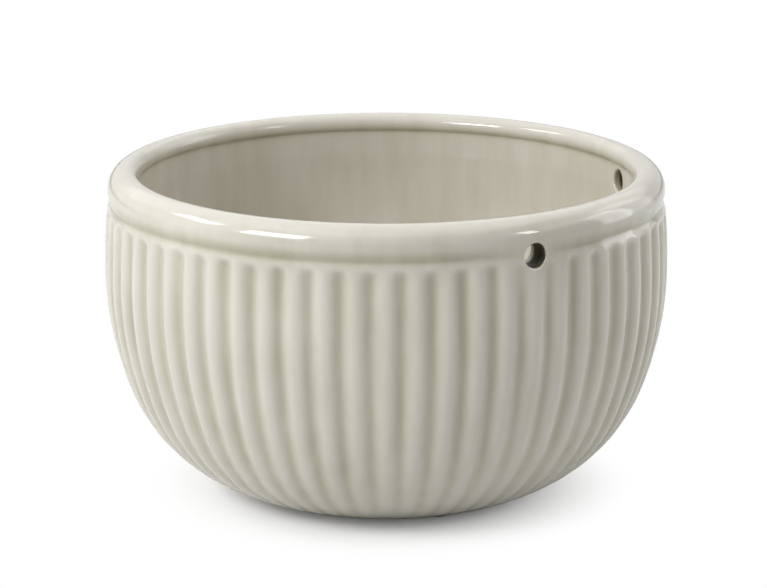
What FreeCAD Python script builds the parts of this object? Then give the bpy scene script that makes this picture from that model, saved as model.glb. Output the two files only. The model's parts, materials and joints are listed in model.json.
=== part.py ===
"""Wall planter: a reeded stoneware bowl with a rolled rim and two hanging holes, its drain plug and foot pads.

Millimetres. The origin is the middle of the resting plane, +Z is up, and +Y points at the wall that the
planter hangs on, midway between the two hanging holes.
"""
import FreeCAD
import Part
import math
import os

from FreeCAD import Vector

# ---------------------------------------------------------------- driving dimensions
planter_height = 118.5  # resting plane to the top of the rim
rim_radius = 100.0  # over the rolled rim
bead_radius = 7.2  # rounding of the rolled rim, outside
rim_edge_radius = 3.9  # its rounding inside

belly_swell = 1.35  # how far the widest place stands out past the rim, over the rib crests
belly_drop = 36.2  # rim top down to that widest place
upper_curve_radius = 250.0  # slow curve from the belly up to the collar
belly_curve_angle = 21.4  # how far the slow curve below the belly turns before a tighter one takes over
foot_radius = 49.0  # outside of the foot ring, where the side ends
foot_lean = 77.4  # how far from upright the side leans there, degrees

collar_drop = 15.7  # rim top to the foot of the smooth collar, where the grooves begin
shoulder_radius = 7.0  # rounding from the collar up to the crease below the rim
crease_fillet = 1.0  # glaze that fills the crease below the rim
lip_fillet = 0.7  # glaze that fills the corner below the rim, inside

wall_thickness = 10.7  # from the rib crests to the inside
floor_lean = 80.0  # how far from upright the inside of the side leans where it meets the floor, degrees
foot_ring_width = 9.0  # flat unglazed ring that the bowl stands on
foot_recess = 2.0  # how far the underside is hollowed inside that ring

rib_count = 60
rib_relief = 1.4  # groove depth below the crests, at the belly
groove_run_in = 5.0  # height over which a groove comes to its full depth
groove_start_share = 0.75  # share of that depth reached ...
groove_start_run = 1.8  # ... this far below the collar

hanging_hole_radius = 4.25
hanging_hole_drop = 12.5  # rim top to the middle of the holes
hanging_hole_angle = 78.0  # between the two holes, seen from above, degrees
hole_land_radius = 8.0  # pressed flat place that each hole is pierced through
hole_land_depth = 1.0  # rim radius to the face of that place

drain_hole_radius = 8.0
plug_clearance = 0.08  # plug stem to drain hole, all round
plug_flange_radius = 13.0
plug_flange_thickness = 2.6
plug_flange_rounding = 1.2
plug_tip_length = 1.6  # how far the stem shows below the floor
plug_tip_taper = 1.0
plug_knob_radius = 4.2
plug_neck_radius = 2.8
plug_neck_height = 2.0
plug_knob_height = 2.4

pad_count = 4
pad_radius = 3.8
pad_thickness = 1.2
pad_chamfer = 0.3

curve_tolerance = 0.35  # a turned curve is cut as straight facets that stay this close to it
reed_tolerance = 0.50  # the same, along the reeds

# ---------------------------------------------------------------- derived places
AXIS = Vector(0, 0, 1)
ORIGIN = Vector(0, 0, 0)

bead_centre = (rim_radius - bead_radius, planter_height - bead_radius)
edge_centre = (bead_centre[0], planter_height - rim_edge_radius)
foot_plane = pad_thickness
collar_foot = planter_height - collar_drop
underside = foot_plane + foot_recess
belly_radius = rim_radius + belly_swell
belly_height = planter_height - belly_drop

# The side is one slow arc above the belly and two below it, each running on from the last. The two below
# start upright at the belly and end at the foot ring with the stated lean, which fixes their radii.
belly_turn = math.radians(belly_curve_angle)
foot_turn = math.radians(foot_lean)
side_run = belly_radius - foot_radius
side_fall = belly_height - foot_plane
belly_run = 1 - math.cos(belly_turn)
belly_fall = math.sin(belly_turn)
lower_run = math.cos(belly_turn) - math.cos(foot_turn)
lower_fall = math.sin(foot_turn) - math.sin(belly_turn)
spread = belly_run * lower_fall - belly_fall * lower_run
belly_curve_radius = (side_run * lower_fall - side_fall * lower_run) / spread
lower_curve_radius = (side_fall * belly_run - side_run * belly_fall) / spread

upper_centre = (belly_radius - upper_curve_radius, belly_height)
belly_centre = (belly_radius - belly_curve_radius, belly_height)
lower_centre = (
    foot_radius - lower_curve_radius * math.cos(foot_turn),
    foot_plane + lower_curve_radius * math.sin(foot_turn),
)
collar_turn = math.asin((collar_foot - belly_height) / upper_curve_radius)
inner_curve_radius = upper_curve_radius - wall_thickness
inner_turn = math.asin((collar_foot - belly_height) / inner_curve_radius)
wall_radius = upper_centre[0] + inner_curve_radius * math.cos(inner_turn)
floor_turn = math.radians(floor_lean)
floor_top = lower_centre[1] - (lower_curve_radius - wall_thickness) * math.sin(floor_turn)


def on_circle(centre, radius, angle):
    """Point (radius from the axis, height) on a circle of the turned outline."""
    return (centre[0] + radius * math.cos(angle), centre[1] + radius * math.sin(angle))


def arc_points(centre, radius, start, end, tolerance=curve_tolerance):
    """Ends of the straight facets that stand in for an arc of the outline, both ends included."""
    widest = 2 * math.acos(1 - min(tolerance / radius, 1))
    steps = max(1, math.ceil(abs(end - start) / widest))
    return [on_circle(centre, radius, start + (end - start) * i / steps) for i in range(steps + 1)]


def meeting_point(centre_a, reach_a, centre_b, reach_b, side):
    """Where two circles cross, on the left (+1) or the right (-1) of the line from a to b."""
    run = math.dist(centre_a, centre_b)
    along = (run**2 + reach_a**2 - reach_b**2) / (2 * run)
    across = side * math.sqrt(reach_a**2 - along**2)
    ux = (centre_b[0] - centre_a[0]) / run
    uz = (centre_b[1] - centre_a[1]) / run
    return (centre_a[0] + along * ux - across * uz, centre_a[1] + along * uz + across * ux)


def bearing(centre, point):
    """Angle at which a point lies from a circle's centre."""
    return math.atan2(point[1] - centre[1], point[0] - centre[0])


def turned(outline):
    """Solid turned about the planter's axis from a closed outline of (radius, height) points."""
    points = [Vector(radius, 0, height) for radius, height in outline]
    section = Part.Face(Part.makePolygon(points + points[:1]))
    return section.revolve(ORIGIN, AXIS, 360)


def side_curve(inset, bottom_turn, top_turn, tolerance):
    """Side of the bowl from the foot up, moved in from the crests by inset."""
    upper = upper_curve_radius - inset
    belly = belly_curve_radius - inset
    lower = lower_curve_radius - inset
    points = arc_points(lower_centre, lower, -bottom_turn, -belly_turn, tolerance)
    points += arc_points(belly_centre, belly, -belly_turn, 0, tolerance)[1:]
    points += arc_points(upper_centre, upper, 0, top_turn, tolerance)[1:]
    return points


# ---------------------------------------------------------------- bowl
def scalloped_ring(radius, height, depth):
    """Closed ring of round-backed reeds: crests at radius, grooves depth deeper."""
    step = 2 * math.pi / rib_count

    def at(reach, angle):
        return Vector(reach * math.cos(angle), reach * math.sin(angle), height)

    reeds = []
    for i in range(rib_count):
        left = at(radius - depth, i * step)
        crest = at(radius, (i + 0.5) * step)
        right = at(radius - depth, (i + 1) * step)
        reeds.append(Part.Arc(left, crest, right).toShape())
    return Part.Wire(reeds)


def reeded_body():
    """Solid body of the bowl up to the collar, with the reeds dying out at the foot and at the collar."""
    curve = side_curve(0, foot_turn, collar_turn, reed_tolerance)
    full_depth_height = collar_foot - groove_run_in
    rings = [scalloped_ring(curve[0][0], curve[0][1], 0)]
    for radius, height in curve[1:]:
        if height < full_depth_height:
            depth = rib_relief * (radius / belly_radius) ** 2
            rings.append(scalloped_ring(radius, height, depth))
    for drop, share in ((groove_run_in, 1), (groove_start_run, groove_start_share), (0, 0)):
        height = collar_foot - drop
        turn = math.asin((height - belly_height) / upper_curve_radius)
        radius = on_circle(upper_centre, upper_curve_radius, turn)[0]
        rings.append(scalloped_ring(radius, height, rib_relief * share))
    return Part.makeLoft(rings, True, True)


def rim_ring():
    """Rolled rim with the smooth collar that carries it, down to where the grooves begin."""
    reach = upper_curve_radius - shoulder_radius
    shoulder_centre = on_circle(upper_centre, reach, collar_turn)
    crease = meeting_point(
        shoulder_centre, shoulder_radius + crease_fillet, bead_centre, bead_radius + crease_fillet, -1
    )
    lip_reach = wall_radius - lip_fillet
    lip_drop = math.sqrt((rim_edge_radius + lip_fillet) ** 2 - (edge_centre[0] - lip_reach) ** 2)
    lip = (lip_reach, edge_centre[1] - lip_drop)

    outline = arc_points(shoulder_centre, shoulder_radius, collar_turn, bearing(shoulder_centre, crease))
    outline += arc_points(
        crease, crease_fillet, bearing(crease, shoulder_centre) + 2 * math.pi, bearing(crease, bead_centre)
    )[1:]
    outline += arc_points(bead_centre, bead_radius, bearing(bead_centre, crease), 0)
    outline += arc_points(bead_centre, bead_radius, 0, math.pi / 2)[1:]
    outline += arc_points(edge_centre, rim_edge_radius, math.pi / 2, bearing(edge_centre, lip) + 2 * math.pi)[1:]
    outline += arc_points(lip, lip_fillet, bearing(lip, edge_centre), 0)[1:]
    outline.append((wall_radius, collar_foot))
    return turned(outline)


def planting_space():
    """Hollow of the bowl below the rim."""
    curve = side_curve(wall_thickness, floor_turn, inner_turn, curve_tolerance)
    return turned([(0, floor_top)] + curve + [(0, collar_foot)])


def hanging_holes():
    """Bores through the collar, one each side of +Y, and the flat places they are pierced through."""
    height = planter_height - hanging_hole_drop
    bores = []
    lands = []
    for side in (-1, 1):
        bearing_angle = math.radians(90 + side * hanging_hole_angle / 2)
        outward = Vector(math.cos(bearing_angle), math.sin(bearing_angle), 0)
        start = outward * (bead_centre[0] - bead_radius) + AXIS * height
        bores.append(Part.makeCylinder(hanging_hole_radius, 3 * bead_radius, start, outward))
        seat = outward * bead_centre[0] + AXIS * height
        depth = rim_radius - hole_land_depth - bead_centre[0]
        lands.append(Part.makeCylinder(hole_land_radius, depth, seat, outward))
    return bores, lands


def bowl():
    """One-piece stoneware bowl."""
    body = reeded_body().cut(planting_space())
    body = body.fuse(rim_ring())
    bores, lands = hanging_holes()
    body = body.fuse(lands)
    hollow = Part.makeCylinder(foot_radius - foot_ring_width, foot_recess, AXIS * foot_plane)
    drain = Part.makeCylinder(drain_hole_radius, planter_height)
    return body.cut([hollow, drain] + bores)


# ---------------------------------------------------------------- loose pieces
def drain_plug():
    """Soft stopper: a stem in the drain hole, a flange on the floor of the bowl and a knob to lift it by."""
    stem = drain_hole_radius - plug_clearance
    tip = underside - plug_tip_length
    flange_top = floor_top + plug_flange_thickness
    rounding_centre = (plug_flange_radius - plug_flange_rounding, flange_top - plug_flange_rounding)
    knob_foot = flange_top + plug_neck_height
    outline = [(0, tip), (stem - plug_tip_taper, tip), (stem, underside), (stem, floor_top)]
    outline.append((plug_flange_radius, floor_top))
    outline += arc_points(rounding_centre, plug_flange_rounding, 0, math.pi / 2)
    outline += [(plug_neck_radius, flange_top), (plug_neck_radius, knob_foot), (plug_knob_radius, knob_foot)]
    outline.append((plug_knob_radius, knob_foot + plug_knob_height / 2))
    outline += [(plug_neck_radius, knob_foot + plug_knob_height), (0, knob_foot + plug_knob_height)]
    return turned(outline)


def foot_pad(index):
    """Thin round pad stuck under the foot ring."""
    ring_middle = foot_radius - foot_ring_width / 2
    angle = 2 * math.pi * (index + 0.5) / pad_count
    place = Vector(ring_middle * math.cos(angle), ring_middle * math.sin(angle), 0)
    tread = Part.makeCone(pad_radius - pad_chamfer, pad_radius, pad_chamfer, place)
    face = Part.makeCylinder(pad_radius, pad_thickness - pad_chamfer, place + AXIS * pad_chamfer)
    return tread.fuse(face)


def main():
    """Write each piece to its own file."""
    pieces = {"bowl": bowl(), "drain_plug": drain_plug()}
    for i in range(pad_count):
        pieces[f"foot_pad_{i + 1}"] = foot_pad(i)
    os.makedirs("parts", exist_ok=True)
    for name, shape in pieces.items():
        shape.exportStep(os.path.join("parts", name + ".step"))
        print(name, "valid" if shape.isValid() else "NOT VALID", round(shape.Volume, 1), len(shape.Faces))


main()
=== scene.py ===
"""Looks of the wall planter: a reeded, putty-glazed stoneware bowl with its drain plug and foot pads."""

import json
import logging
import math
from dataclasses import dataclass
from enum import Enum

import bmesh
import bpy
import numpy as np
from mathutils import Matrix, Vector, noise


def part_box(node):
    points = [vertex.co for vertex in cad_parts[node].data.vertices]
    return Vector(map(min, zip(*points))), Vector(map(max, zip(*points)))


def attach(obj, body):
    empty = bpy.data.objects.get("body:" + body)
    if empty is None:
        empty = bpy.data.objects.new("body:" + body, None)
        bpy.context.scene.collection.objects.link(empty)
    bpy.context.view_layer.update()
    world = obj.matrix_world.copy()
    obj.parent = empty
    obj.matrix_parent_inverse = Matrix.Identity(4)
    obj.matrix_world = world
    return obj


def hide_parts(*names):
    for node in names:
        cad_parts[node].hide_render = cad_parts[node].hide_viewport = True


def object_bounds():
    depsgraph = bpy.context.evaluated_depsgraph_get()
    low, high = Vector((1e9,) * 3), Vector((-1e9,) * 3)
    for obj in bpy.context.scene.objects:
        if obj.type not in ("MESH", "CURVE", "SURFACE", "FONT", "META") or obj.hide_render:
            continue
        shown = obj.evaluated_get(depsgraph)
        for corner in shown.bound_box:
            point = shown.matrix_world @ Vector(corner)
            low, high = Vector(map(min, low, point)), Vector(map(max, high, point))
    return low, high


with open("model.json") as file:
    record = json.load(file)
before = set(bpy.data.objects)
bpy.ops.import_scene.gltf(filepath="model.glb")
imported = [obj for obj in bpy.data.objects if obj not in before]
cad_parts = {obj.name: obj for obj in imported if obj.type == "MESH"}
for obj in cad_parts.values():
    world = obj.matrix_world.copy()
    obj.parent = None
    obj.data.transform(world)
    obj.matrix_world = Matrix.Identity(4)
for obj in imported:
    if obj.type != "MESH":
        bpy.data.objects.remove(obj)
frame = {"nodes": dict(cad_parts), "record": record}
cad_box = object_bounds()

log = logging.getLogger("planter")
MM = 0.001
IMAGE_WIDTH = 767
NEAR = 0.01

Point = tuple[float, float]


# ---------------------------------------------------------------- helpers
def linear(code: str) -> tuple[float, float, float, float]:
    """Turn an sRGB hex colour into the linear one that a socket takes.

    Args:
        code: Colour such as "#c5c2b6".

    Returns:
        Red, green, blue and alpha, linear.
    """
    shares = [int(code[i:i + 2], 16) / 255 for i in (1, 3, 5)]
    red, green, blue = [c / 12.92 if c <= 0.04045 else ((c + 0.055) / 1.055) ** 2.4 for c in shares]
    return (red, green, blue, 1.0)


def add_node(tree: bpy.types.NodeTree, kind: str, inputs: dict | None = None, **settings) -> bpy.types.Node:
    """Add one node with its settings, input values and links.

    Args:
        tree: Node tree that takes the node.
        kind: Blender's type name of the node.
        inputs: Input name or number to a value, or to the output socket that feeds it.
        **settings: Attributes of the node itself.

    Returns:
        The new node.
    """
    node = tree.nodes.new(kind)
    for name, value in settings.items():
        setattr(node, name, value)
    for name, value in (inputs or {}).items():
        if isinstance(value, bpy.types.NodeSocket):
            tree.links.new(value, node.inputs[name])
        else:
            node.inputs[name].default_value = value
    return node


def new_material(name: str) -> tuple[bpy.types.Material, bpy.types.NodeTree]:
    """Start an empty node material.

    Args:
        name: Name of the finish.

    Returns:
        The material and its node tree, with no nodes in it.
    """
    material = bpy.data.materials.new(name)
    material.use_nodes = True
    material.node_tree.nodes.clear()
    return material, material.node_tree


def wear(piece: bpy.types.Object, material: bpy.types.Material) -> None:
    """Make a material the only one of a piece."""
    piece.data.materials.clear()
    piece.data.materials.append(material)


def select_only(piece: bpy.types.Object) -> None:
    """Deselect everything and make one piece selected and active."""
    bpy.ops.object.select_all(action="DESELECT")
    piece.select_set(True)
    bpy.context.view_layer.objects.active = piece


def smooth_step(low: float, high: float, value: np.ndarray) -> np.ndarray:
    """Ease from 0 at low to 1 at high.

    Args:
        low: Value where the ease starts.
        high: Value where it ends.
        value: Values to ease.

    Returns:
        Shares from 0 to 1.
    """
    share = np.clip((value - low) / (high - low), 0.0, 1.0)
    return share * share * (3 - 2 * share)


def arc(centre: Point, radius: float, start: float, end: float, cells: int) -> list[Point]:
    """Points along an arc of a turned outline.

    Args:
        centre: Distance from the axis and height of the arc's centre.
        radius: Radius of the arc.
        start: Bearing of the first point, radians.
        end: Bearing of the last point, radians.
        cells: Number of steps between them.

    Returns:
        The points, both ends included.
    """
    turns = [start + (end - start) * i / cells for i in range(cells + 1)]
    return [(centre[0] + radius * math.cos(t), centre[1] + radius * math.sin(t)) for t in turns]


def straight(start: Point, end: Point, cells: int) -> list[Point]:
    """Points along a straight stretch of a turned outline, both ends included."""
    shares = [i / cells for i in range(cells + 1)]
    return [(start[0] + (end[0] - start[0]) * s, start[1] + (end[1] - start[1]) * s) for s in shares]


def crossing(centre_a: Point, reach_a: float, centre_b: Point, reach_b: float, side: int) -> Point:
    """Find where two circles cross.

    Args:
        centre_a: Centre of the first circle.
        reach_a: Its radius.
        centre_b: Centre of the second circle.
        reach_b: Its radius.
        side: 1 for the crossing left of the line from a to b, -1 for the right one.

    Returns:
        The crossing.
    """
    run = math.dist(centre_a, centre_b)
    along = (run ** 2 + reach_a ** 2 - reach_b ** 2) / (2 * run)
    across = side * math.sqrt(reach_a ** 2 - along ** 2)
    unit = ((centre_b[0] - centre_a[0]) / run, (centre_b[1] - centre_a[1]) / run)
    return (centre_a[0] + along * unit[0] - across * unit[1],
            centre_a[1] + along * unit[1] + across * unit[0])


def bearing(centre: Point, point: Point) -> float:
    """Angle at which a point lies from a centre, radians."""
    return math.atan2(point[1] - centre[1], point[0] - centre[0])


def spun(name: str, outline: list[Point], steps: int) -> bpy.types.Object:
    """Turn a closed outline about the planter's axis, as on a wheel.

    Args:
        name: Name of the piece.
        outline: Closed outline of distances from the axis and heights, in millimetres.
        steps: Number of steps round.

    Returns:
        The turned piece, smooth, with its faces outward.
    """
    bpy.ops.object.select_all(action="DESELECT")
    bpy.ops.mesh.primitive_circle_add(vertices=len(outline), radius=cad_box[1].x)
    piece = bpy.context.active_object
    piece.name = name
    piece.data.name = name
    places = np.array([(reach * MM, 0.0, height * MM) for reach, height in outline])
    piece.data.vertices.foreach_set("co", places.ravel())
    turn = piece.modifiers.new("turn", "SCREW")
    turn.axis = "Z"
    turn.steps = steps
    turn.render_steps = steps
    turn.use_merge_vertices = True
    turn.merge_threshold = 0.001 * MM
    bpy.ops.object.modifier_apply(modifier=turn.name)
    bpy.ops.object.mode_set(mode="EDIT")
    bpy.ops.mesh.select_all(action="SELECT")
    bpy.ops.mesh.remove_doubles(threshold=0.001 * MM)
    bpy.ops.mesh.normals_make_consistent(inside=False)
    bpy.ops.object.mode_set(mode="OBJECT")
    bpy.ops.object.shade_smooth()
    return piece


# ---------------------------------------------------------------- finishes
@dataclass(frozen=True)
class PuttyGlaze:
    """Gloss feldspar glaze on stoneware, dipped and fired.

    It runs off the crests of the reeds, where it is thinner and paler, and pools in the grooves and the
    crease, where it is darker and greener. The crease's darkening, spread up the bead's underside, is also
    painted shade, and a dark band inside under the rim is painted shade. Its skin is glassy, with a faint
    orange peel and slow waves.
    Deep inside the holes it is painted dark, as shade, and dull.
    """

    thin: str = "#d2cec3"
    middle: str = "#c4c0b0"
    pooled: str = "#a29f88"
    # Painted shade: this dark colour deep inside the hanging holes stands in for the shadow in the bores.
    bore: str = "#4d4a38"
    clay: str = "#cbbfa8"
    middle_at: float = 0.35
    pooled_at: float = 0.88
    unevenness: float = 0.5
    cloud_mm: float = 38.0
    run_mm: float = 6.0
    run_stretch: float = 0.2
    gloss: float = 0.10
    gloss_drift: float = 0.05
    clay_roughness: float = 0.85
    peel_mm: float = 1.6
    peel_height_mm: float = 0.006
    wave_mm: float = 22.0
    wave_height_mm: float = 0.25
    grit_mm: float = 0.5
    grit_height_mm: float = 0.12

    def material(self) -> bpy.types.Material:
        """Build the glaze.

        Returns:
            The material. It reads the bowl's own attributes "pool" and "bare".
        """
        material, tree = new_material("putty_glaze_on_stoneware")
        place = add_node(tree, "ShaderNodeTexCoord").outputs["Object"]
        pool_and_shade = add_node(tree, "ShaderNodeAttribute", attribute_name="pool_and_shade").outputs["Fac"]
        bare = add_node(tree, "ShaderNodeAttribute", attribute_name="bare").outputs["Fac"]
        clouds = add_node(tree, "ShaderNodeTexNoise", {
            "Vector": place, "Scale": 1 / (self.cloud_mm * MM), "Detail": 3.0, "Roughness": 0.55})
        stretched = add_node(tree, "ShaderNodeMapping", {
            "Vector": place, "Scale": (1.0, 1.0, self.run_stretch)})
        runs = add_node(tree, "ShaderNodeTexNoise", {
            "Vector": stretched.outputs["Vector"], "Scale": 1 / (self.run_mm * MM), "Detail": 4.0})
        drift = add_node(tree, "ShaderNodeMath", {0: clouds.outputs["Fac"], 1: runs.outputs["Fac"]},
                         operation="ADD")
        depth = add_node(tree, "ShaderNodeMath", {
            0: drift.outputs[0], 1: self.unevenness, 2: -self.unevenness}, operation="MULTIPLY_ADD")
        shade = add_node(tree, "ShaderNodeMath", {0: pool_and_shade, 1: depth.outputs[0]},
                         operation="ADD", use_clamp=True)
        # The ramp turns glaze depth, and the painted shade carried with it, into colour.
        ramp = add_node(tree, "ShaderNodeValToRGB", {"Fac": shade.outputs[0]})
        stops = ramp.color_ramp.elements
        stops[0].color = linear(self.thin)
        stops[1].color = linear(self.pooled)
        stops[1].position = self.pooled_at
        stops.new(self.middle_at).color = linear(self.middle)
        # Last stop: the painted shade deep in the bores.
        stops.new(1.0).color = linear(self.bore)
        body = add_node(tree, "ShaderNodeMix", {
            "Factor": bare, "A": ramp.outputs["Color"], "B": linear(self.clay)}, data_type="RGBA")
        grit = add_node(tree, "ShaderNodeTexNoise", {
            "Vector": place, "Scale": 1 / (self.grit_mm * MM), "Detail": 2.0})
        gloss = add_node(tree, "ShaderNodeMath", {
            0: runs.outputs["Fac"], 1: self.gloss_drift, 2: self.gloss - self.gloss_drift / 2},
            operation="MULTIPLY_ADD")
        rough = add_node(tree, "ShaderNodeMix", {
            "Factor": bare, "A": gloss.outputs[0], "B": self.clay_roughness})
        # The shine is turned down where the bores' shade is painted.
        dulled = add_node(tree, "ShaderNodeMapRange", {
            "Value": pool_and_shade, "From Min": 0.8, "From Max": 1.05, "To Min": 0.5, "To Max": 0.02})
        peel = add_node(tree, "ShaderNodeTexNoise", {
            "Vector": place, "Scale": 1 / (self.peel_mm * MM), "Detail": 1.0})
        waves = add_node(tree, "ShaderNodeTexNoise", {
            "Vector": place, "Scale": 1 / (self.wave_mm * MM), "Detail": 2.0})
        slow = add_node(tree, "ShaderNodeBump", {
            "Height": waves.outputs["Fac"], "Strength": 1.0,
            "Distance": self.wave_height_mm * MM})
        fine = add_node(tree, "ShaderNodeBump", {
            "Height": peel.outputs["Fac"], "Normal": slow.outputs["Normal"], "Strength": 1.0,
            "Distance": self.peel_height_mm * MM})
        tooth = add_node(tree, "ShaderNodeMath", {0: bare, 1: grit.outputs["Fac"]}, operation="MULTIPLY")
        normal = add_node(tree, "ShaderNodeBump", {
            "Height": tooth.outputs[0], "Normal": fine.outputs["Normal"], "Strength": 1.0,
            "Distance": self.grit_height_mm * MM})
        shader = add_node(tree, "ShaderNodeBsdfPrincipled", {
            "Base Color": body.outputs["Result"], "Roughness": rough.outputs["Result"],
            "Specular IOR Level": dulled.outputs["Result"], "Normal": normal.outputs["Normal"],
            "IOR": 1.52})
        add_node(tree, "ShaderNodeOutputMaterial", {"Surface": shader.outputs["BSDF"]})
        return material


@dataclass(frozen=True)
class SoftRubber:
    """Moulded silicone rubber: dull, faintly dusty, with a fine moulded grain."""

    name: str
    colour: str
    dusty: str
    roughness: float = 0.55
    dust_mm: float = 4.0
    grain_mm: float = 0.4
    grain_height_mm: float = 0.02

    def material(self) -> bpy.types.Material:
        """Build the rubber.

        Returns:
            The material.
        """
        material, tree = new_material(self.name)
        place = add_node(tree, "ShaderNodeTexCoord").outputs["Object"]
        dust = add_node(tree, "ShaderNodeTexNoise", {
            "Vector": place, "Scale": 1 / (self.dust_mm * MM), "Detail": 3.0})
        tint = add_node(tree, "ShaderNodeMix", {
            "Factor": dust.outputs["Fac"], "A": linear(self.colour), "B": linear(self.dusty)},
            data_type="RGBA")
        rough = add_node(tree, "ShaderNodeMath", {
            0: dust.outputs["Fac"], 1: 0.2, 2: self.roughness - 0.1}, operation="MULTIPLY_ADD")
        grain = add_node(tree, "ShaderNodeTexNoise", {
            "Vector": place, "Scale": 1 / (self.grain_mm * MM), "Detail": 2.0})
        normal = add_node(tree, "ShaderNodeBump", {
            "Height": grain.outputs["Fac"], "Strength": 1.0, "Distance": self.grain_height_mm * MM})
        shader = add_node(tree, "ShaderNodeBsdfPrincipled", {
            "Base Color": tint.outputs["Result"], "Roughness": rough.outputs[0],
            "Normal": normal.outputs["Normal"], "IOR": 1.41})
        add_node(tree, "ShaderNodeOutputMaterial", {"Surface": shader.outputs["BSDF"]})
        return material


# ---------------------------------------------------------------- bowl
class Side(Enum):
    """Which skin of the bowl's wall is meant."""

    OUTER = 1
    INNER = -1


@dataclass(frozen=True)
class HangingHole:
    """One hole through the collar: bearing of its axis in radians, height and radius in millimetres."""

    turn: float
    height: float
    radius: float

    def outward(self) -> Vector:
        """Direction of the hole's axis, away from the bowl."""
        return Vector((math.cos(self.turn), math.sin(self.turn), 0))

    def sideways(self) -> Vector:
        """Level direction across the hole."""
        return Vector((-math.sin(self.turn), math.cos(self.turn), 0))


@dataclass
class Bowl:
    """One-piece stoneware bowl, sizes in millimetres."""

    rim: float = 100.0
    bead: float = 7.2
    belly_swell: float = 1.35
    belly_drop: float = 36.2
    upper_curve: float = 250.0
    belly_turn: float = math.radians(21.4)
    foot_radius: float = 49.0
    foot_lean: float = math.radians(77.4)
    collar_drop: float = 15.7
    shoulder: float = 7.0
    crease: float = 1.0
    rim_edge: float = 3.9
    lip: float = 0.7
    wall: float = 10.7
    floor_lean: float = math.radians(80)
    foot_ring: float = 9.0
    foot_recess: float = 2.0
    foot_rounding: float = math.radians(2)
    drain: float = 8.0
    edge: float = 0.9
    skin_from: float = 0.2
    bare_to: float = 0.25

    reeds: int = 60
    relief: float = 1.6
    relief_fall: float = 2.2
    foot_fade: tuple[float, float] = (0.5, 7.0)
    groove_softness: float = 0.17
    groove_start: float = 1.5
    groove_run_in: float = 3.6
    run_in_bend: float = 2.2
    start_spread: float = 0.35
    strength_spread: float = 0.06
    reed_cells: int = 12
    crowding: float = 0.11
    crowding_run_in: float = 6.0
    calm_share: float = 0.5
    calm_reach: float = 14.0
    calm_drop: float = 16.0

    window_drop: float = 19.5
    window_head: float = 5.0
    window_cells: int = 8
    land_rings: int = 4
    mouth_rings: int = 3
    bore_rings: int = 2
    mouth_edge: float = 0.8

    crease_depth: float = 0.6
    crease_slope: float = 0.268
    crease_blend: float = 0.1
    band_foot: float = 2.2
    band_fade: float = 0.35
    bead_fade: float = 1.5
    crease_fill: float = 0.6
    fill_reach: float = 25.0
    fill_start: float = 0.4

    reed_pool: float = 0.58
    # Crease mark: glaze pooled in the crease, and painted shade spread up the bead's underside.
    crease_pool_and_shade: float = 0.66
    pool_and_shade_above: float = 3.2
    pool_and_shade_below: float = 1.3
    pool_and_shade_by_hole: float = 0.2
    # The inner wall is a little darker than the crests, fading out 2 to 5 mm below the top.
    inside_darkening: float = 0.14
    # Painted shade: a dark band on the inner wall just under the rolled rim.
    painted_under_rim_shade: float = 0.5
    under_rim_rise: float = 0.7
    under_rim_spread: float = 1.2

    waver_depth: float = 0.08
    slow_waver: float = 34.0
    quick_waver: float = 11.0
    quick_share: float = 0.35

    def __post_init__(self) -> None:
        """Take the overall places from the frame and work out the outline's circles."""
        low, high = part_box("bowl")
        self.foot_plane = low.z / MM
        self.top = high.z / MM
        self.belly = self.rim + self.belly_swell
        self.belly_height = self.top - self.belly_drop
        self.collar_foot = self.top - self.collar_drop
        self.reed_top = self.collar_foot + 2 * self.groove_start
        self.underside = self.foot_plane + self.foot_recess
        self.bead_centre = (self.rim - self.bead, self.top - self.bead)
        self.edge_centre = (self.bead_centre[0], self.top - self.rim_edge)
        run = self.belly - self.foot_radius
        fall = self.belly_height - self.foot_plane
        belly_run, belly_fall = 1 - math.cos(self.belly_turn), math.sin(self.belly_turn)
        lower_run = math.cos(self.belly_turn) - math.cos(self.foot_lean)
        lower_fall = math.sin(self.foot_lean) - math.sin(self.belly_turn)
        spread = belly_run * lower_fall - belly_fall * lower_run
        self.belly_curve = (run * lower_fall - fall * lower_run) / spread
        self.lower_curve = (fall * belly_run - run * belly_fall) / spread
        self.upper_centre = (self.belly - self.upper_curve, self.belly_height)
        self.belly_centre = (self.belly - self.belly_curve, self.belly_height)
        self.lower_centre = (self.foot_radius - self.lower_curve * math.cos(self.foot_lean),
                             self.foot_plane + self.lower_curve * math.sin(self.foot_lean))
        self.collar_turn = math.asin((self.collar_foot - self.belly_height) / self.upper_curve)
        reach = self.upper_curve - self.shoulder
        self.shoulder_centre = (self.upper_centre[0] + reach * math.cos(self.collar_turn),
                                self.upper_centre[1] + reach * math.sin(self.collar_turn))
        self.crease_centre = crossing(self.shoulder_centre, self.shoulder + self.crease, self.bead_centre,
                                      self.bead + self.crease, -1)
        self.floor_top = self.lower_centre[1] - (self.lower_curve - self.wall) * math.sin(self.floor_lean)
        self.wall_top = float(self.side_radius(np.array([self.collar_foot]), self.wall)[0])
        lip_run = self.edge_centre[0] - (self.wall_top - self.lip)
        lip_drop = math.sqrt((self.rim_edge + self.lip) ** 2 - lip_run ** 2)
        self.lip_centre = (self.wall_top - self.lip, self.edge_centre[1] - lip_drop)
        self.window_top = self.top - self.window_head
        self.window_foot = self.top - self.window_drop
        draw = np.random.default_rng(7)
        self.start_scatter = draw.normal(0, self.start_spread, self.reeds)
        self.strength_scatter = draw.normal(1.0, self.strength_spread, self.reeds)
        self.skins = {Side.OUTER: np.array(self.outer_window(8)),
                      Side.INNER: np.array(self.inner_window(8)[::-1])}
        self.holes = []
        for mount in frame["record"]["mounts"]:
            if mount["kind"] == "bore":
                x, y, z = mount["pos_m"]
                self.holes.append(HangingHole(math.atan2(y, x), z / MM, mount["dims"]["r_mm"]))

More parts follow.
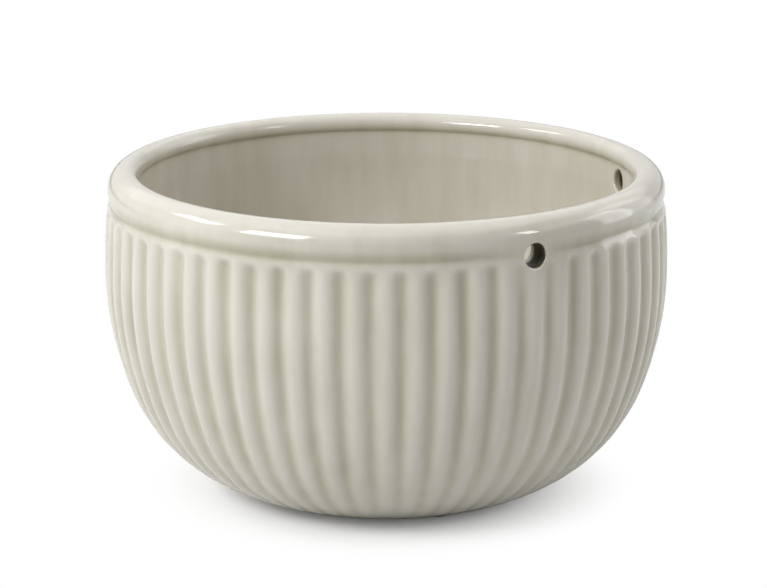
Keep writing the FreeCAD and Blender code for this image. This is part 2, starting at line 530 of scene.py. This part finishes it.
    def side_radius(self, height: np.ndarray, inset: float = 0.0) -> np.ndarray:
        """Radius of the side over the reed crests.

        Args:
            height: Heights above the resting plane.
            inset: How far inside the crests.

        Returns:
            Radius at each height.
        """
        def reach(centre: Point, radius: float) -> np.ndarray:
            """Radius at which a circle of the outline stands at each height."""
            return centre[0] + np.sqrt(np.clip((radius - inset) ** 2 - (height - centre[1]) ** 2, 0, None))

        lower_top = self.belly_height - self.belly_curve * math.sin(self.belly_turn)
        below = np.where(height < lower_top, reach(self.lower_centre, self.lower_curve),
                         reach(self.belly_centre, self.belly_curve))
        return np.where(height < self.belly_height, below, reach(self.upper_centre, self.upper_curve))

    def side(self, inset: float, bottom: float, top: float, cells: tuple[int, int, int]) -> list[Point]:
        """Side of the bowl from the bottom up.

        Args:
            inset: How far inside the reed crests.
            bottom: Bearing at which the lower curve starts, radians below level.
            top: Bearing at which the upper curve ends, radians above level.
            cells: Steps along the lower, the belly and the upper curve.

        Returns:
            Points of the outline.
        """
        points = arc(self.lower_centre, self.lower_curve - inset, -bottom, -self.belly_turn, cells[0])
        points += arc(self.belly_centre, self.belly_curve - inset, -self.belly_turn, 0, cells[1])[1:]
        points += arc(self.upper_centre, self.upper_curve - inset, 0, top, cells[2])[1:]
        return points

    def outer_window(self, fine: int = 1) -> list[Point]:
        """Outline from below the collar up past the widest line of the rim, fine times as dense."""
        foot = math.asin((self.window_foot - self.belly_height) / self.upper_curve)
        head = math.asin((self.window_top - self.bead_centre[1]) / self.bead)
        points = arc(self.upper_centre, self.upper_curve, foot, self.collar_turn, 3 * fine)
        points += arc(self.shoulder_centre, self.shoulder, self.collar_turn,
                      bearing(self.shoulder_centre, self.crease_centre), 4 * fine)[1:]
        points += arc(self.crease_centre, self.crease,
                      bearing(self.crease_centre, self.shoulder_centre) + 2 * math.pi,
                      bearing(self.crease_centre, self.bead_centre), 3 * fine)[1:]
        points += arc(self.bead_centre, self.bead, bearing(self.bead_centre, self.crease_centre), 0,
                      5 * fine)[1:]
        points += arc(self.bead_centre, self.bead, 0, head, 2 * fine)[1:]
        return points

    def inner_window(self, fine: int = 1) -> list[Point]:
        """Outline inside, between the same heights and in as many steps, from the top down."""
        head = math.pi - math.asin((self.window_top - self.edge_centre[1]) / self.rim_edge)
        lip_side = bearing(self.edge_centre, self.lip_centre) + 2 * math.pi
        points = arc(self.edge_centre, self.rim_edge, head, lip_side, 2 * fine)
        points += arc(self.lip_centre, self.lip, lip_side - math.pi, 0, 3 * fine)[1:]
        points += straight(points[-1], (self.wall_top, self.collar_foot), 8 * fine)[1:]
        wall_foot = (float(self.side_radius(np.array([self.window_foot]), self.wall)[0]), self.window_foot)
        points += straight(points[-1], wall_foot, 4 * fine)[1:]
        return points

    def outline(self) -> list[Point]:
        """Whole closed outline, from the drain hole out under the foot, up the side, over the rim and back.

        Returns:
            The outline's points.
        """
        edge, ring = self.edge, self.foot_radius - self.foot_ring
        quarter = math.pi / 2
        points = arc((self.drain + edge, self.underside + edge), edge, 2 * quarter, 3 * quarter, 2)
        points += straight((self.drain + edge, self.underside), (ring - edge, self.underside), 3)[1:]
        points += straight((ring - edge, self.underside), (ring, self.foot_plane + edge / 2), 2)[1:]
        points += straight((ring + edge / 2, self.foot_plane), (self.foot_radius - edge, self.foot_plane), 3)
        side = self.side(0, self.foot_lean - self.foot_rounding, 0, (20, 15, 1))[:-1]
        foot = math.asin((self.window_foot - self.belly_height) / self.upper_curve)
        side += arc(self.upper_centre, self.upper_curve, 0, foot, 6)[1:]
        points += side
        points += self.outer_window()[1:]
        points += arc(self.bead_centre, self.bead, bearing(self.bead_centre, points[-1]), quarter, 9)[1:]
        inside = self.inner_window()
        points += arc(self.edge_centre, self.rim_edge, quarter, bearing(self.edge_centre, inside[0])
                      % (2 * math.pi), 8)[1:]
        points += inside[1:]
        inner_top = math.asin((self.window_foot - self.belly_height) / (self.upper_curve - self.wall))
        inside = self.side(self.wall, self.floor_lean, inner_top, (11, 5, 3))
        points += inside[::-1][1:]
        points += straight(points[-1], (self.drain + edge, self.floor_top), 4)[1:]
        points += arc((self.drain + edge, self.floor_top - edge), edge, quarter, 2 * quarter, 2)[1:]
        return points

    def groove(self, share: np.ndarray) -> np.ndarray:
        """Depth of a reed's back below its crest.

        Args:
            share: Place across the reed, 0 and 1 in the grooves and one half on the crest.

        Returns:
            Shares of the full relief.
        """
        off = np.minimum(share, 1 - share)
        soft = self.groove_softness
        bend = 2 * (1 - 2 * soft) / soft
        deepest = 1 - 2 * soft
        return np.where(off < soft, deepest - bend * off ** 2, (1 - 2 * off) ** 2) / deepest

    def relief_at(self, angle: np.ndarray, height: np.ndarray, radius: np.ndarray) -> np.ndarray:
        """Depth of the surface below the crests at full places of the side.

        Args:
            angle: Angles about the axis, radians.
            height: Heights.
            radius: Radius over the crests there.

        Returns:
            Depths in millimetres.
        """
        pitch = 2 * math.pi / self.reeds
        which = np.floor(angle / pitch).astype(int) % self.reeds
        share = angle / pitch - np.floor(angle / pitch)
        near = np.where(share < 0.5, which, (which + 1) % self.reeds)
        drop = self.collar_foot + self.groove_start + self.start_scatter[near] - height
        rise = 1 - (1 - np.clip(drop / self.groove_run_in, 0, 1)) ** self.run_in_bend
        foot = smooth_step(self.foot_plane + self.foot_fade[0], self.foot_plane + self.foot_fade[1], height)
        full = self.relief * self.strength_scatter[near] * (radius / self.belly) ** self.relief_fall
        near_collar = smooth_step(self.window_foot - self.calm_drop, self.collar_foot, height)
        for hole in self.holes:
            beside = np.exp(-(self.arc_length(angle, hole) / self.calm_reach) ** 2)
            full = full * (1 - self.calm_share * beside * near_collar)
        return full * rise * foot * self.groove(share)

    def shape_skin(self, piece: bpy.types.Object) -> None:
        """Press the reeds into the turned side and give the pot its slight unevenness.

        Args:
            piece: The turned bowl.
        """
        count = len(piece.data.vertices)
        places = np.empty(count * 3)
        piece.data.vertices.foreach_get("co", places)
        places = places.reshape(-1, 3) / MM
        angle = np.arctan2(places[:, 1], places[:, 0]) % (2 * math.pi)
        reach = np.hypot(places[:, 0], places[:, 1])
        height = places[:, 2]
        middle = np.where(height > self.collar_foot, self.bead_centre[0],
                          self.side_radius(height) - self.wall / 2)
        outer = (reach > middle) & (height > self.foot_plane + self.skin_from)
        pitch = 2 * math.pi / self.reeds
        share = angle / pitch - np.floor(angle / pitch)
        crowd = np.sin(2 * math.pi * share) * self.crowding
        gather = smooth_step(self.window_foot, self.window_foot - self.crowding_run_in, height) * outer
        angle = angle - crowd * pitch * gather
        radius = self.side_radius(height)
        reeded = outer & (height < self.reed_top)
        depth = np.where(reeded, self.relief_at(angle, height, radius), 0.0)
        reach = reach - depth
        window = outer & (height > self.window_foot - NEAR) & (height < self.window_top + NEAR)
        reach = np.where(window, self.filled(reach, angle, height), reach)
        places[:, 0] = reach * np.cos(angle)
        places[:, 1] = reach * np.sin(angle)
        piece.data.vertices.foreach_set("co", (places * MM).ravel())
        # Glaze depth, with painted shade in the crease, under the rim and in the bores.
        pool_and_shade = self.pool_and_shade_at(depth, angle, height, outer)
        bare = (height < self.foot_plane + self.bare_to) * 1.0
        for name, values in (("pool_and_shade", pool_and_shade), ("bare", bare)):
            layer = piece.data.attributes.new(name, "FLOAT", "POINT")
            layer.data.foreach_set("value", values.astype(float))

    def pool_and_shade_at(self, depth: np.ndarray, angle: np.ndarray, height: np.ndarray,
                outer: np.ndarray) -> np.ndarray:
        """How thick the glaze lies, with painted shade added: 0 where it has run thin, 1 where it is
        darkest.

        Args:
            depth: Depths below the crests.
            angle: Angles about the axis, radians.
            height: Heights.
            outer: Whether each place is on the outer skin.

        Returns:
            Shares of the darkest tone, from deep glaze and painted shade.
        """
        # Crease mark: partly glaze pooled in the crease, partly painted shade up the bead's underside; less
        # of it beside the holes, where the crease is filled.
        off = height - self.crease_centre[1]
        spread = np.where(off > 0, self.pool_and_shade_above, self.pool_and_shade_below)
        crease = self.crease_pool_and_shade * np.exp(-(off / spread) ** 2)
        for hole in self.holes:
            away = np.clip(self.arc_length(angle, hole) / self.fill_reach, 0, 1)
            crease = crease * (self.pool_and_shade_by_hole + (1 - self.pool_and_shade_by_hole) * away)
        grooves = self.reed_pool * np.clip(depth / self.relief, 0, 1)
        # Painted shade under the rolled rim, on the inner wall.
        off = height - self.lip_centre[1] - self.under_rim_rise
        under_rim = self.painted_under_rim_shade * np.exp(-(off / self.under_rim_spread) ** 2)
        # Inner wall a little darker, fading out near the top.
        inside = self.inside_darkening * (1 - smooth_step(self.top - 5, self.top - 2, height)) + under_rim
        inside = np.where(height > self.floor_top - 10 * NEAR, inside, 0.0)
        return np.where(outer, np.maximum(grooves, crease), inside)

    def arc_length(self, angle: np.ndarray, hole: HangingHole) -> np.ndarray:
        """Distance round the rim between angles and a hanging hole."""
        return np.abs((angle - hole.turn + math.pi) % (2 * math.pi) - math.pi) * self.rim

    def filled(self, reach: np.ndarray, angle: np.ndarray, height: np.ndarray) -> np.ndarray:
        """Soften the crease all round, and fill it beside each hanging hole, where clay is pressed in.

        Args:
            reach: Radii of the outer skin.
            angle: Angles about the axis, radians.
            height: Heights.

        Returns:
            The radii with the fill.
        """
        def blend(a: np.ndarray, b: np.ndarray) -> np.ndarray:
            """Greater of two radii, rounded where they meet."""
            return 0.5 * (a + b + np.sqrt((a - b) ** 2 + self.crease_blend ** 2))

        valley = self.rim - self.crease_depth
        below = self.bead_centre[1] - height
        full = self.bead_centre[1] - self.crease_centre[1]
        fade_above = self.bead_fade * np.clip(-below, 0, None) ** 2
        fade_below = self.band_fade * np.maximum(0, self.collar_foot + self.band_foot - height) ** 2
        under_bead = self.rim - self.crease_depth * (below / full) ** 2 - fade_above
        under_bead = np.where(below > full, valley - 0.5 * (below - full), under_bead)
        band = valley + self.crease_slope * (self.crease_centre[1] - height) - fade_below
        reach = blend(reach, np.maximum(under_bead, band) - self.crease_blend / 2)
        for hole in self.holes:
            swell = 1 - np.clip(self.arc_length(angle, hole) / self.fill_reach, 0, 1)
            level = valley - self.fill_start + (self.fill_start + self.crease_fill) * swell
            reach = blend(reach, level - fade_below - fade_above)
        return reach

    def skin_point(self, side: Side, hole: HangingHole, across: float, up: float) -> float:
        """Distance along a hole's axis of the skin beside it.

        Args:
            side: Outer or inner skin.
            hole: The hanging hole.
            across: Level distance from the hole's axis.
            up: Height above the hole's axis.

        Returns:
            Distance from the bowl's axis, along the hole.
        """
        line = self.skins[side]
        reach = float(np.interp(hole.height + up, line[:, 1], line[:, 0]))
        if side is Side.OUTER:
            angle = np.array([hole.turn + math.asin(across / reach)])
            height = np.array([hole.height + up])
            if height[0] < self.reed_top:
                reach -= float(self.relief_at(angle % (2 * math.pi), height, self.side_radius(height))[0])
            reach = float(self.filled(np.array([reach]), angle, height)[0])
        return math.sqrt(reach ** 2 - across ** 2)

    def cut_window(self, piece: bpy.types.Object, hole: HangingHole) -> int:
        """Take a window out of both skins round a hole and bridge the two with a tube of faces.

        Args:
            piece: The bowl.
            hole: The hanging hole.

        Returns:
            How many points the bowl had before the tube.
        """
        select_only(piece)
        mesh = piece.data
        half = self.window_cells * 2 * math.pi / (self.reeds * self.reed_cells)
        step = half / self.window_cells
        middle = round(hole.turn / step) * step
        bpy.ops.object.mode_set(mode="EDIT")
        bpy.ops.mesh.select_mode(type="FACE")
        bpy.ops.mesh.select_all(action="DESELECT")
        bpy.ops.object.mode_set(mode="OBJECT")
        for face in mesh.polygons:
            spot = face.center / MM
            turn = (math.atan2(spot.y, spot.x) - middle + math.pi) % (2 * math.pi) - math.pi
            face.select = abs(turn) < half and self.window_foot < spot.z < self.window_top
        bpy.ops.object.mode_set(mode="EDIT")
        bpy.ops.mesh.delete(type="FACE")
        bpy.ops.object.mode_set(mode="OBJECT")
        kept = len(mesh.vertices)
        bpy.ops.object.mode_set(mode="EDIT")
        bpy.ops.mesh.select_mode(type="EDGE")
        bpy.ops.mesh.select_non_manifold(extend=False, use_wire=True, use_boundary=True,
                                         use_multi_face=False, use_non_contiguous=False, use_verts=False)
        cuts = 2 * (self.land_rings + self.mouth_rings) + self.bore_rings
        bpy.ops.mesh.bridge_edge_loops(number_cuts=cuts, interpolation="LINEAR")
        bpy.ops.object.mode_set(mode="OBJECT")
        return kept

    def column_from(self, start: bmesh.types.BMVert, fresh: set) -> list:
        """Follow the tube of a window from a point of its outer edge to the inner edge.

        Args:
            start: Point on the outer edge.
            fresh: Points of the tube.

        Returns:
            The points in order, those on both edges included.
        """
        column = [start]
        while len(column) == 1 or column[-1] in fresh:
            last = column[-1]
            onward = [edge.other_vert(last) for edge in last.link_edges]
            if len(column) == 1:
                onward = [v for v in onward if v in fresh]
            else:
                sides = {v for face in last.link_faces for v in face.verts if column[-2] in face.verts}
                onward = [v for v in onward if v not in column and v not in sides]
            column.append(onward[0])
        return column

    def pierce(self, piece: bpy.types.Object, hole: HangingHole) -> None:
        """Open one hanging hole with rounded mouths.

        Args:
            piece: The bowl.
            hole: The hanging hole.
        """
        kept = self.cut_window(piece, hole)
        shape = bmesh.new()
        shape.from_mesh(piece.data)
        shape.verts.ensure_lookup_table()
        fresh = {vert for vert in shape.verts if vert.index >= kept}
        rim = {v for vert in fresh for edge in vert.link_edges for v in edge.verts if v not in fresh}
        pool_and_shade = shape.verts.layers.float["pool_and_shade"]
        for start in rim:
            if (start.co / MM).xy.length > self.bead_centre[0]:
                column = self.column_from(start, fresh)
                self.lay_column(column, hole)
                self.glaze_column(column, pool_and_shade)
        shape.to_mesh(piece.data)
        shape.free()
        piece.data.update()

    def lay_column(self, column: list, hole: HangingHole) -> None:
        """Lay one strip of points from the outer skin through the hole to the inner skin.

        Args:
            column: Points in order, the first and the last of them fixed on the skins.
            hole: The hanging hole.
        """
        edge = self.mouth_edge
        wide = hole.radius + edge
        outward, sideways = hole.outward(), hole.sideways()
        first = column[0].co / MM
        turn = math.atan2(first.z - hole.height, first.dot(sideways))
        laid = {}
        for side in Side:
            spot = (column[0] if side is Side.OUTER else column[-1]).co / MM
            across, up = spot.dot(sideways), spot.z - hole.height
            rings = []
            for i in range(1, self.land_rings + 1):
                share = (i / self.land_rings) ** 0.9
                a = across + (wide * math.cos(turn) - across) * share
                u = up + (wide * math.sin(turn) - up) * share
                rings.append((a, u, self.skin_point(side, hole, a, u)))
            skin = rings[-1][2]
            for i in range(1, self.mouth_rings + 1):
                roll = math.pi / 2 * i / self.mouth_rings
                reach = hole.radius + edge * (1 - math.sin(roll))
                sunk = skin - side.value * edge * (1 - math.cos(roll))
                rings.append((reach * math.cos(turn), reach * math.sin(turn), sunk))
            laid[side] = rings
        start, end = laid[Side.OUTER][-1], laid[Side.INNER][-1]
        tube = []
        for i in range(1, self.bore_rings + 1):
            share = i / (self.bore_rings + 1)
            tube.append(tuple(s + (e - s) * share for s, e in zip(start, end)))
        rings = laid[Side.OUTER] + tube + laid[Side.INNER][::-1]
        for vert, (a, u, depth) in zip(column[1:-1], rings):
            vert.co = (outward * depth + sideways * a + Vector((0, 0, hole.height + u))) * MM

    def glaze_column(self, column: list, pool_and_shade: bmesh.types.BMLayerItem) -> None:
        """Glaze a strip through a hole: the skins' own beside it, a pale lip and painted shade inside.

        Args:
            column: Points in order, from the outer to the inner skin.
            pool_and_shade: Layer that holds the glaze's depth and the painted shade.
        """
        last = len(column) - 3
        for order, vert in enumerate(column[1:-1]):
            inner = order > (last + 1) / 2
            sunk = min(order, last - order) - self.land_rings
            spot = vert.co / MM
            angle, height = np.array([math.atan2(spot.y, spot.x)]), np.array([spot.z])
            depth = self.relief_at(angle % (2 * math.pi), height, self.side_radius(height))
            skin = self.pool_and_shade_at(depth, angle, height, np.array([not inner]))
            # The first mouth ring stays pale: thin glaze on the edge, set pale also as a painted highlight
            # on the lip. The rings deeper in darken towards the bores' painted shade.
            gain, most = (0.3, 0.9) if inner else (0.45, 1.1)
            vert[pool_and_shade] = float(skin[0]) if sunk < 0 else min(most, gain * sunk)

    def waver(self, piece: bpy.types.Object) -> None:
        """Let the whole skin waver a little, as a fired pot does, never outside its box."""
        for vert in piece.data.vertices:
            spot = vert.co
            slow = noise.noise(spot / (self.slow_waver * MM))
            both = slow + self.quick_share * noise.noise(spot / (self.quick_waver * MM))
            out = Vector((spot.x, spot.y, 0)).normalized()
            if spot.z / MM > self.foot_plane + 1:
                vert.co = spot - out * (self.waver_depth * (both + 1.0)) * MM

    def build(self) -> bpy.types.Object:
        """Make the bowl and dress it.

        Returns:
            The bowl.
        """
        piece = spun("glazed_bowl", self.outline(), self.reeds * self.reed_cells)
        self.shape_skin(piece)
        for hole in self.holes:
            self.pierce(piece, hole)
        self.waver(piece)
        select_only(piece)
        bpy.ops.object.mode_set(mode="EDIT")
        bpy.ops.mesh.select_all(action="SELECT")
        bpy.ops.mesh.normals_make_consistent(inside=False)
        bpy.ops.object.mode_set(mode="OBJECT")
        bpy.ops.object.shade_smooth()
        wear(piece, PuttyGlaze().material())
        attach(piece, "bowl")
        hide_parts("bowl")
        return piece


# ---------------------------------------------------------------- studio
@dataclass(frozen=True)
class Lamp:
    """One softbox: where it hangs as seen from the bowl, how wide it looks from there and how bright it is.

    Bearings count from the camera's, positive to the right in the picture. Angles are in degrees.
    """

    name: str
    bearing: float
    height: float
    width: float
    tall: float
    level: float
    away: float = 1.3

    def hang(self, aim: Vector, front: float) -> None:
        """Hang the softbox, facing the bowl.

        Args:
            aim: Point that it faces.
            front: Bearing of the camera, radians.
        """
        turn, rise = front + math.radians(self.bearing), math.radians(self.height)
        data = bpy.data.lights.new(self.name, "AREA")
        data.shape = "RECTANGLE"
        data.size = 2 * self.away * math.tan(math.radians(self.width / 2))
        data.size_y = 2 * self.away * math.tan(math.radians(self.tall / 2))
        data.energy = self.level * math.pi * data.size * data.size_y
        lamp = bpy.data.objects.new(self.name, data)
        bpy.context.scene.collection.objects.link(lamp)
        towards = Vector((math.cos(turn) * math.cos(rise), math.sin(turn) * math.cos(rise), math.sin(rise)))
        lamp.location = aim + towards * self.away
        lamp.rotation_mode = "QUATERNION"
        lamp.rotation_quaternion = (-towards).to_track_quat("-Z", "Y")


LAMPS = (
    Lamp("key_left", -48, 34, 24, 17, 13.2),
    Lamp("side_left", -96, 40, 22, 10, 9.5),
    Lamp("strip_left", -70, 8, 16, 60, 0.5),
    Lamp("strip_side", -86, 8, 16, 60, 0.85),
    Lamp("accent_right", 60, 29, 8, 10, 11.0),
    Lamp("back_right", 105, 36, 60, 14, 0.6),
    Lamp("strip_right", 104, 10, 20, 50, 2.5),
    Lamp("strip_back_right", 122, 10, 24, 60, 0.9),
    Lamp("back_top", 180, 45, 90, 40, 0.6),
    Lamp("top", 0, 85, 60, 60, 0.95),
    Lamp("top_front", -50, 60, 60, 26, 0.6),
)


@dataclass
class Studio:
    """Pale floor, soft lamps and the camera, sizes in metres."""

    azimuth: float = 110.9
    elevation: float = 12.63
    distance: float = 1.2
    pitch: float = 1.891
    yaw: float = 0.049
    focal_px: float = 3336.0
    floor_size: float = 8.0
    ambient: float = 0.03
    mirrored_front: float = 0.3
    mirrored_behind: float = 0.8
    front_from: float = 0.45
    behind_from: float = -0.35
    paper_tone: float = 0.78
    paper_end: float = 0.036
    white_start: float = 0.092

    def camera(self, target: Vector) -> bpy.types.Object:
        """Set up the photograph's view.

        Args:
            target: Middle of the rolled rim.

        Returns:
            The camera.
        """
        turn, rise = math.radians(self.azimuth), math.radians(self.elevation)
        away = Vector((math.sin(turn) * math.cos(rise), -math.cos(turn) * math.cos(rise), math.sin(rise)))
        data = bpy.data.cameras.new("camera")
        data.sensor_width = 36.0
        data.lens = self.focal_px * data.sensor_width / IMAGE_WIDTH
        data.clip_end = 50.0
        camera = bpy.data.objects.new("camera", data)
        bpy.context.scene.collection.objects.link(camera)
        camera.location = target + away * self.distance
        look = rise + math.radians(self.pitch)
        side = turn + math.radians(self.yaw)
        gaze = Vector((-math.sin(side) * math.cos(look), math.cos(side) * math.cos(look), -math.sin(look)))
        camera.rotation_mode = "QUATERNION"
        camera.rotation_quaternion = gaze.to_track_quat("-Z", "Y")
        bpy.context.scene.camera = camera
        return camera

    def floor(self) -> bpy.types.Object:
        """Lay the pale floor, which passes into plain white round the bowl for the eye alone.

        Returns:
            The floor.
        """
        bpy.ops.object.select_all(action="DESELECT")
        bpy.ops.mesh.primitive_plane_add(size=self.floor_size, location=(0, 0, 0))
        floor = bpy.context.active_object
        floor.name = "floor"
        material, tree = new_material("white_paper")
        path = add_node(tree, "ShaderNodeLightPath")
        place = add_node(tree, "ShaderNodeTexCoord").outputs["Object"]
        reach = add_node(tree, "ShaderNodeVectorMath", {0: place}, operation="LENGTH")
        far = add_node(tree, "ShaderNodeMapRange", {
            "Value": reach.outputs["Value"], "From Min": self.paper_end, "From Max": self.white_start},
            interpolation_type="SMOOTHSTEP")
        shown = add_node(tree, "ShaderNodeMath", {
            0: path.outputs["Is Camera Ray"], 1: path.outputs["Is Glossy Ray"]}, operation="MAXIMUM")
        tone = add_node(tree, "ShaderNodeMix", {
            "Factor": shown.outputs[0], "A": (self.paper_tone,) * 3 + (1,), "B": (1, 1, 1, 1)},
            data_type="RGBA")
        paper = add_node(tree, "ShaderNodeBsdfDiffuse", {"Color": tone.outputs["Result"]})
        white = add_node(tree, "ShaderNodeEmission", {"Color": (1, 1, 1, 1), "Strength": 1.0})
        seen = add_node(tree, "ShaderNodeMath", {
            0: far.outputs["Result"], 1: path.outputs["Is Camera Ray"]}, operation="MULTIPLY")
        mixed = add_node(tree, "ShaderNodeMixShader", {
            0: seen.outputs[0], 1: paper.outputs[0], 2: white.outputs[0]})
        add_node(tree, "ShaderNodeOutputMaterial", {"Surface": mixed.outputs[0]})
        wear(floor, material)
        return floor

    def world(self) -> None:
        """Surround the bowl: white for the eye, dim as light, in reflections paler behind than in front."""
        world = bpy.data.worlds.new("studio")
        bpy.context.scene.world = world
        world.use_nodes = True
        tree = world.node_tree
        tree.nodes.clear()
        path = add_node(tree, "ShaderNodeLightPath")
        direction = add_node(tree, "ShaderNodeTexCoord").outputs["Generated"]
        turn = math.radians(self.azimuth)
        facing = add_node(tree, "ShaderNodeVectorMath", {
            0: direction, 1: (math.sin(turn), -math.cos(turn), 0.0)}, operation="DOT_PRODUCT")
        mirrored = add_node(tree, "ShaderNodeMapRange", {
            "Value": facing.outputs["Value"], "From Min": self.behind_from, "From Max": self.front_from,
            "To Min": self.mirrored_behind, "To Max": self.mirrored_front}, interpolation_type="SMOOTHSTEP")
        level = add_node(tree, "ShaderNodeMix", {
            "Factor": path.outputs["Is Glossy Ray"], "A": self.ambient, "B": mirrored.outputs["Result"]})
        seen = add_node(tree, "ShaderNodeMath", {
            0: level.outputs["Result"], 1: path.outputs["Is Camera Ray"]}, operation="MAXIMUM")
        back = add_node(tree, "ShaderNodeBackground", {"Color": (1, 1, 1, 1), "Strength": seen.outputs[0]})
        add_node(tree, "ShaderNodeOutputWorld", {"Surface": back.outputs[0]})

    def build(self) -> None:
        """Put up the whole studio."""
        low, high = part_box("bowl")
        middle = Vector((0, 0, (low.z + high.z) / 2))
        self.camera(Vector((0, 0, high.z - Bowl.bead * MM)))
        self.floor()
        self.world()
        for lamp in LAMPS:
            lamp.hang(middle, math.radians(self.azimuth - 90))
        scene = bpy.context.scene
        scene.view_settings.view_transform = "Standard"


# ---------------------------------------------------------------- all
def main() -> None:
    """Build the classes in order, log the bowl's face count and dress the stopper and pads."""
    logging.basicConfig(level=logging.INFO, format="%(name)s: %(message)s")
    Studio().build()
    bowl = Bowl().build()
    log.info("%s: %d faces", bowl.name, len(bowl.data.polygons))
    stopper = SoftRubber("silicone_stopper", "#9d9b93", "#b3b1a9").material()
    tread = SoftRubber("soft_foot_pad", "#d6d3cb", "#c4c1b8").material()
    for name, node in frame["nodes"].items():
        if name == "drain_plug":
            wear(node, stopper)
        elif name.startswith("foot_pad"):
            wear(node, tread)


if __name__ == "__main__":
    main()
